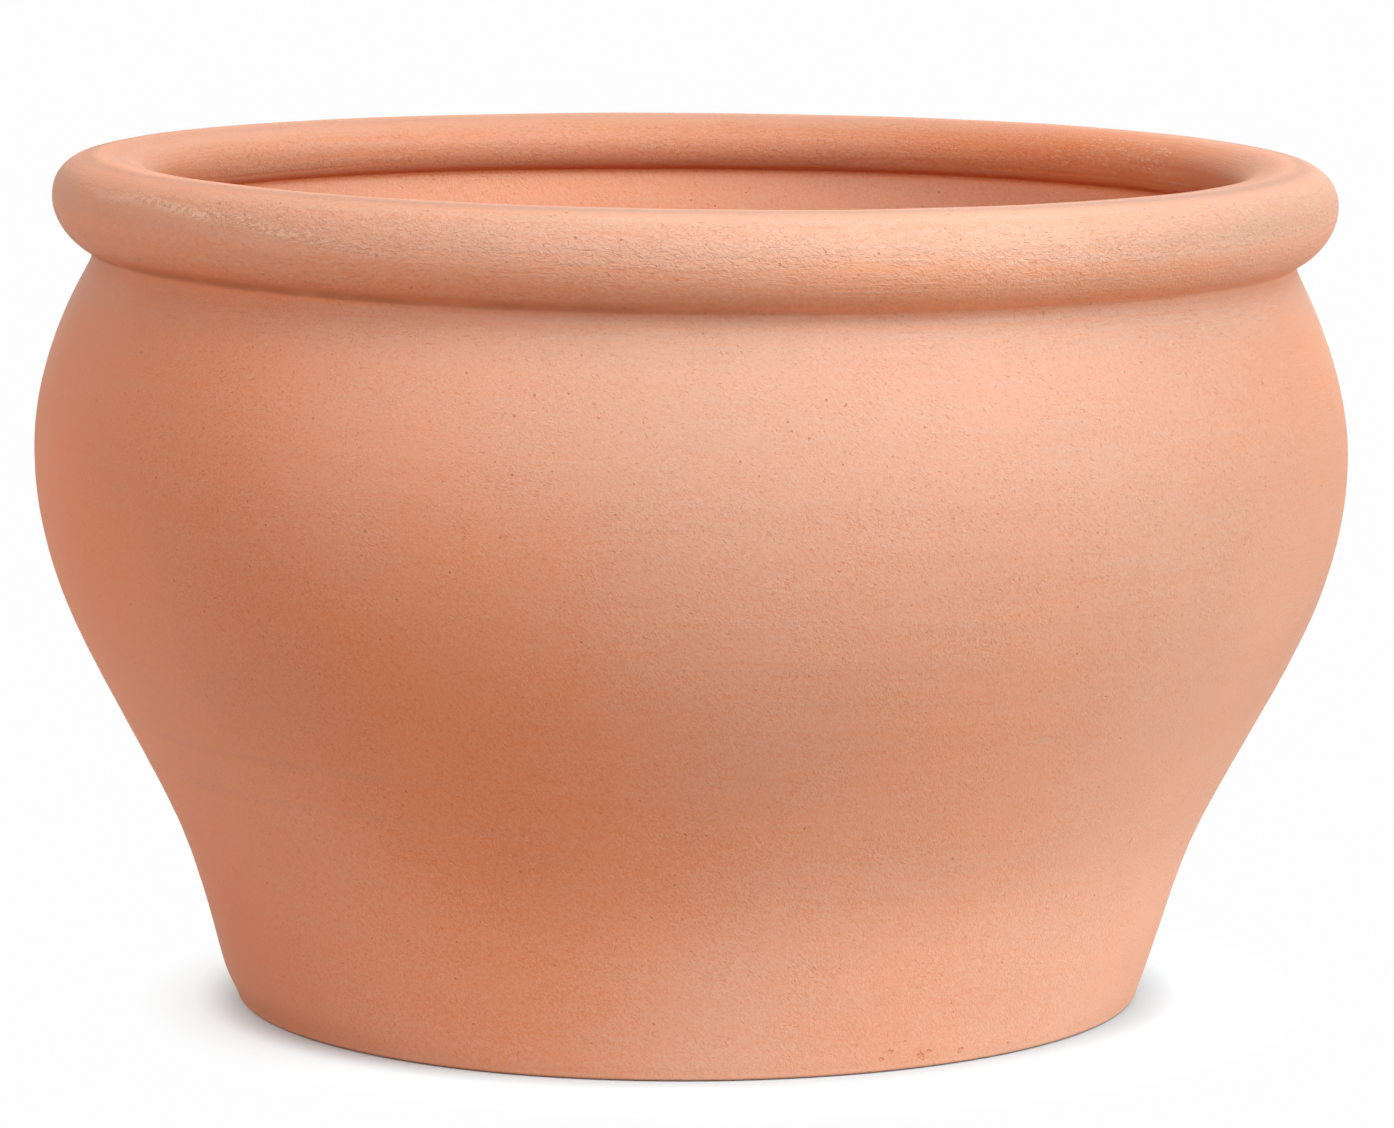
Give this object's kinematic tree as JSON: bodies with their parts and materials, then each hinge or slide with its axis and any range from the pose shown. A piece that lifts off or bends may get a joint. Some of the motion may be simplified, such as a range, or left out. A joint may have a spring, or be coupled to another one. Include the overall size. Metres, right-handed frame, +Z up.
{
  "type": "terracotta planter",
  "caption": "Wide round-bellied terracotta planter on a narrower foot, open at the top, with a thick rolled rim and a drain hole in its floor.",
  "frame": {"origin": "centre of the flat underside that the planter stands on", "axes": "+Z up along the axis the pot is turned about; +Y is away from the picture's camera, +X to its right"},
  "size_m": [0.4, 0.4, 0.2569],
  "materials": {
    "slab_clay": "unglazed matt terracotta",
    "coil_clay": "unglazed matt terracotta",
    "lower_wall_clay": "unglazed matt terracotta",
    "upper_wall_clay": "unglazed matt terracotta",
    "rim_clay": "unglazed matt terracotta"
  },
  "bodies": {
    "root": {"base_slab": "slab_clay", "corner_coil": "coil_clay", "lower_wall": "lower_wall_clay", "upper_wall": "upper_wall_clay", "rim_roll": "rim_clay"}
  },
  "joints": []
}
